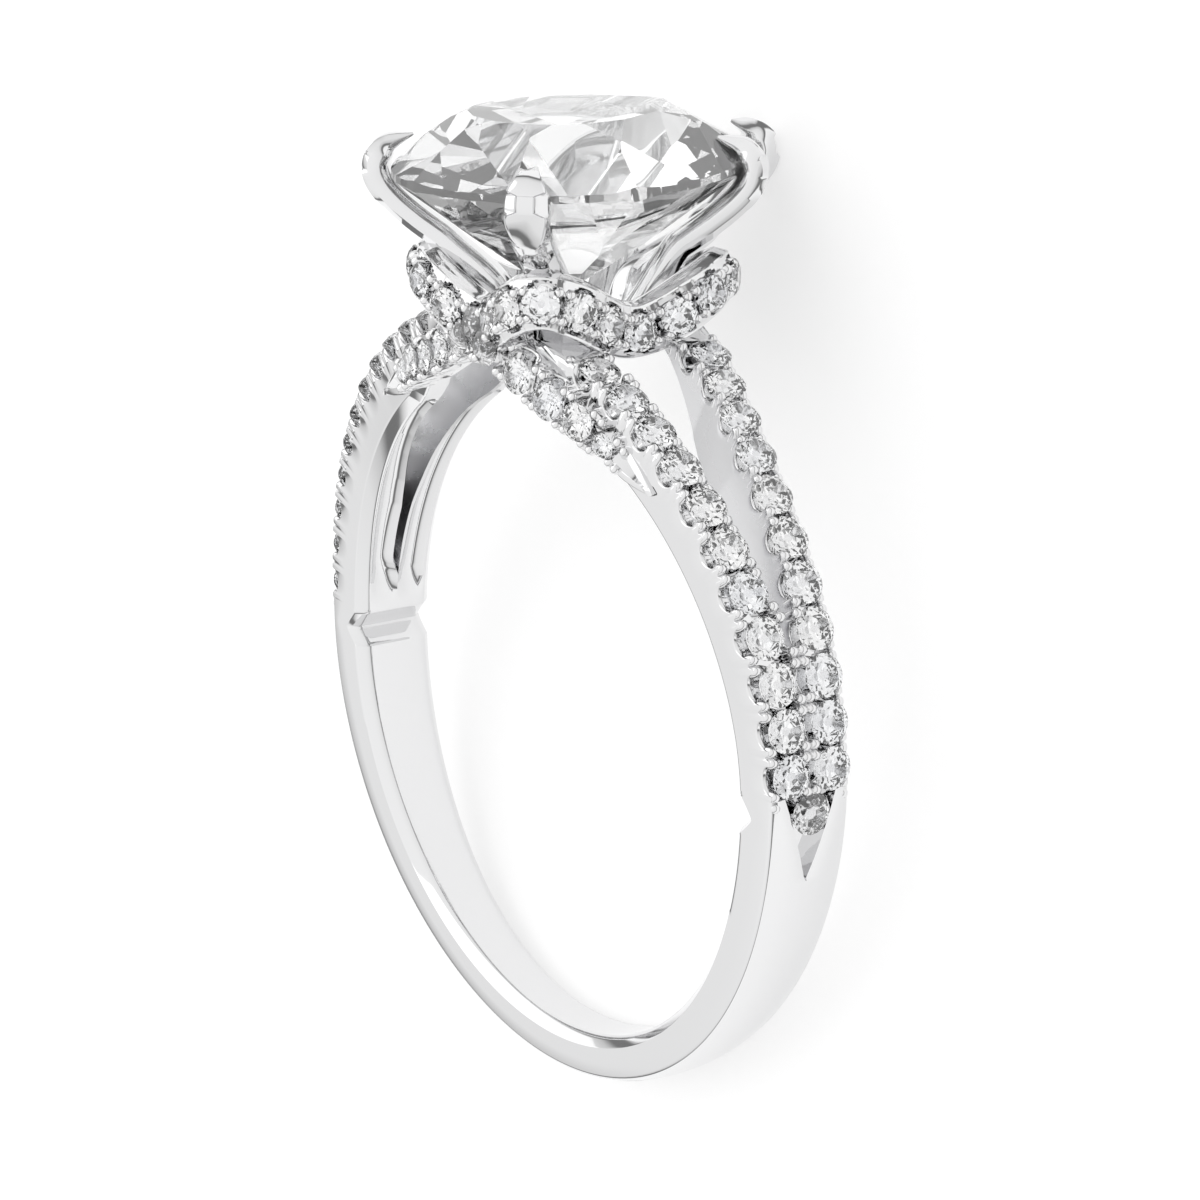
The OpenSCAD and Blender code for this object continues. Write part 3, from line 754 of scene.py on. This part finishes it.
def sampled(table, at):
    """The rows of a table at places between whole numbers."""
    return np.stack([np.interp(at, np.arange(len(table)), column) for column in table.T], -1)


def filed(over):
    """Half width of the middle face at a height: the square's, widening to the edge above, and
    an ellipse round the hollow below."""
    above, below = over - SQUARE_AT - SQUARE, SQUARE_AT - SQUARE - over
    bowl = np.sqrt(np.clip(1 - ((below - SPREAD) / (HOLLOW - SPREAD)) ** 2, 0.12, 1))
    hollow = np.where(below < SPREAD, NARROW + 0.5 * below / SPREAD, WIDE * bowl)
    return np.where(below > 0, hollow, NARROW + 0.5 * np.clip(above / 0.1, 0, 1))


def claw_section(over, on_edge):
    """A claw's closed section at each height, as (across, outward) columns in shares of half the
    claw: filed faces outside that melt into a rounded stem below, and a rounded inside."""
    mid, below = filed(over), SQUARE_AT - SQUARE - over
    raised = RAISED * (np.abs(over - SQUARE_AT) < SQUARE)
    line = LINE_DEPTH * on_edge
    dent = HOLLOW_DEPTH * np.sin(np.pi * np.clip(below / HOLLOW, 0, 1))
    rim_at = 0.9 + 0.1 * np.clip((WIDE - mid) / 0.5, 0, 1)
    # from the flank inward: its corner, the filed side face, the line's two edges and the bottom
    # between them, and the middle face
    half = [(FLANK, NARROW), ((FLANK + mid) / 2, (NARROW + rim_at) / 2 + 0.05),
            (np.minimum(mid + LINE_W, 0.965), rim_at - 0.05), (mid, rim_at - 0.07 - LINE_DEPTH),
            (mid - LINE_W, rim_at + raised - line),
            (0.5 * mid, 1 - (1 - rim_at) * 0.25 + raised - dent * 0.75 - line)]
    outside = [(-w, n) for w, n in half] + [(0 * mid, 1 + raised - dent - line)] + half[::-1]
    plain = np.clip((below - HOLLOW + 0.2) / 0.6, 0, 1)
    outside = [(w, n * (1 - plain) + np.clip(1 - np.abs(w) ** ROUND, 0, 1) ** (1 / ROUND) * plain)
               for w, n in outside]
    turn = np.linspace(0, np.pi, 15)[1:-1]
    inside = zip(np.copysign(np.abs(np.cos(turn)) ** INSIDE_ROUND, np.cos(turn)),
                 -np.sin(turn) ** INSIDE_ROUND)
    return by_column([*outside, (0.99, 0.1), *inside, (-0.99, 0.1)], len(over))


for name, (x, y, shift) in CLAWS.items():
    far = math.hypot(x, y)
    outward, across = np.array([x, y, 0]) / far, np.array([-y, x, 0]) / far
    furthest = far - CLAW_T / 2 + shift
    stem = STEM * [-1, 1, 1, 1] + [furthest, GIRDLE_Z, 0, 0]
    curve = spline(np.concatenate([ROOT, stem]), 40)
    slope = unit(np.gradient(curve[:, :2], axis=0))
    # extra sections at the top and the bottom edge of the square, by the outer face's height
    outer_z = curve[:, 1] - GIRDLE_Z - slope[:, 0] * CLAW_T / 2 * curve[:, 2]
    climb = np.maximum.accumulate(outer_z)
    edges = SQUARE_AT + SQUARE * np.array([[-1], [1]]) + np.array([-0.035, 0, 0.035])
    edges_at = np.interp(edges, climb, np.arange(len(curve)))
    at = np.unique(np.concatenate([np.arange(0, len(curve), 4), [len(curve) - 1],
                                   edges_at.ravel()]))
    line, way = sampled(curve, at), sampled(slope, at)
    over = np.interp(at, np.arange(len(curve)), climb)
    w, n = claw_section(over, np.isin(at, edges_at[:, 1]))
    w, n = CLAW_W / 2 * line[:, 3:] * w, CLAW_T / 2 * line[:, 2:3] * n
    r, z = line[:, :1] + way[:, 1:] * n, line[:, 1:2] - way[:, :1] * n
    points = outward * r[..., None] + across * w[..., None] + np.array([0, 0, 1]) * z[..., None]
    made(name, points, weave(*w.shape, close_columns=True).tolist() + caps(*w.shape),
         [polished], "mount", crisp=28)

# Pear stone
#
# A modified brilliant, cut from one clear crystal: table, stars, mains and breaks above a thin
# faceted girdle, mains and halves below it that meet near a point. The claws hold it at five
# places.
CROWN, PAVILION = 1.35, 3.05
GIRDLE_HALF = 0.08
TABLE = 0.54                   # the table's width, as a share of the stone's
PEAR_SIDES = 64
# how steep each kind of facet is, as a share of the crown's and of the pavilion's own slope
STARS, BREAKS, HALVES, LOW_MAINS = 0.62, 1.22, 1.06, 0.985


def pear_outline(n):
    """Closed outline: a half circle toward -Y and two long arcs that meet at the point toward
    +Y."""
    a = PEAR_TURN * (1 - np.linspace(0, 1, n // 4, endpoint=False))
    long_side = np.stack([PEAR_R - PEAR_ARC + PEAR_ARC * np.cos(a),
                          PEAR_Y + PEAR_ARC * np.sin(a)], -1)
    b = np.pi * np.linspace(0, 1, n // 2 + 1)
    end = np.stack([PEAR_R * np.cos(b), PEAR_Y - PEAR_R * np.sin(b)], -1)
    return np.concatenate([long_side, end, (long_side[1:] * [-1, 1])[::-1]])[::-1]


# the facets meet round a point that lies a little past the half circle's centre
middle = np.array([0, PEAR_Y + 0.5])
outline = pear_outline(PEAR_SIDES) - middle


def reach(azimuth):
    """How far the outline stands out from the stone's middle: the largest dot product."""
    return float((outline @ [math.cos(azimuth), math.sin(azimuth)]).max())


facets = []
for main in np.arange(8) * np.pi / 4 + np.pi / 8:
    star, h = main + np.pi / 8, reach(main)
    facets.append((main, h, GIRDLE_HALF, CROWN / (h * (1 - TABLE))))
    facets.append((star, reach(star) * TABLE, GIRDLE_HALF + CROWN,
                   STARS * CROWN / (reach(star) * (1 - TABLE))))
    for between in (main - np.pi / 16, main + np.pi / 16):
        b = reach(between)
        facets.append((between, b, GIRDLE_HALF, BREAKS * CROWN / (b * (1 - TABLE))))
        facets.append((between, b, -GIRDLE_HALF, -HALVES * PAVILION / b))
    facets.append((main, h, -GIRDLE_HALF, -LOW_MAINS * PAVILION / h))
points, faces = facet_cut(outline, -GIRDLE_HALF - PAVILION, GIRDLE_HALF + CROWN, facets)
made("pear_stone", points + [*middle, GIRDLE_Z], faces,
     [clear("clear_pear", (0.96, 0.965, 0.97), 0.95)], "centre_stone", crisp=2)

# Studio
#
# A white sweep under a bright even sky, one soft key light, and a camera at the photograph's
# angle to the ring.
FLOOR_HALF = 3
KEY_AT = Vector((-0.25, 0.15, 0.35))
SKY = [(0.0, 0.95), (0.03, 0.7), (0.06, 0.2), (0.15, 0.2), (0.21, 0.65), (0.34, 0.88),
       (0.62, 0.95), (0.92, 1.0), (1.0, 1.0)]    # brightness by height, horizon first
# azimuth, elevation and roll about the upright ring; distance and small pan in mm
AZIMUTH, ELEVATION, ROLL = (math.radians(v) for v in (55.38, 16.89, 0.28))
DISTANCE, PAN_X, PAN_Y = 95.71, 0.71, 2.582
FOCAL_PX, PICTURE_PX, SENSOR = 3840.3, 1200, 36

floor = bpy.data.meshes.new("floor")
corner = FLOOR_HALF * np.array([[-1, -1, 0], [1, -1, 0], [1, 1, 0], [-1, 1, 0]])
floor.from_pydata(corner.tolist(), [], [(0, 1, 2, 3)])
paper, _, _, shader = blank("white_paper")
shader.inputs["Base Color"].default_value = (0.52, 0.52, 0.52, 1)
shader.inputs["Emission Color"].default_value = (1, 1, 1, 1)
shader.inputs["Emission Strength"].default_value = 0.53
shader.inputs["Roughness"].default_value = 0.9
floor.materials.append(paper)
floor = bpy.data.objects.new("floor", floor)
bpy.context.collection.objects.link(floor)

world = bpy.data.worlds.new("bright_sky")
bpy.context.scene.world = world
world.use_nodes = True
nodes, links = world.node_tree.nodes, world.node_tree.links
direction = nodes.new("ShaderNodeTexCoord")
parts = nodes.new("ShaderNodeSeparateXYZ")
height = nodes.new("ShaderNodeValToRGB")
for position, _ in SKY[1:-1]:
    height.color_ramp.elements.new(position)
for stop, (position, shade) in zip(height.color_ramp.elements, SKY):
    stop.position, stop.color = position, (shade, shade, shade, 1)
links.new(direction.outputs["Generated"], parts.inputs["Vector"])
links.new(parts.outputs["Z"], height.inputs["Fac"])
links.new(height.outputs["Color"], nodes["Background"].inputs["Color"])
nodes["Background"].inputs["Strength"].default_value = 1.05

key = bpy.data.lights.new("key", "AREA")
key.shape, key.size, key.energy = "DISK", 0.7, 0.5
key_light = bpy.data.objects.new("key", key)
key_light.matrix_world = (Matrix.Translation(KEY_AT)
                          @ KEY_AT.to_track_quat("Z", "Y").to_matrix().to_4x4())
bpy.context.collection.objects.link(key_light)

toward = np.array([math.sin(AZIMUTH) * math.cos(ELEVATION),
                   -math.cos(AZIMUTH) * math.cos(ELEVATION), math.sin(ELEVATION)])
level = unit(np.cross(-toward, [0, 0, 1]))
above = np.cross(level, -toward)
across = math.cos(ROLL) * level + math.sin(ROLL) * above
upward = -math.sin(ROLL) * level + math.cos(ROLL) * above
lens = bpy.data.cameras.new("camera")
lens.sensor_width = SENSOR
lens.lens = SENSOR * FOCAL_PX / PICTURE_PX
lens.clip_start = 0.002
camera = bpy.data.objects.new("camera", lens)
turned = np.eye(4)
turned[:3, :3] = (np.array([across, upward, toward]) @ RING_AXES).T
turned[:3, 3] = laid(DISTANCE * toward + PAN_X * across + PAN_Y * upward)
camera.matrix_world = Matrix(turned.tolist())
bpy.context.collection.objects.link(camera)
bpy.context.scene.camera = camera
bpy.context.scene.view_settings.view_transform = "Standard"
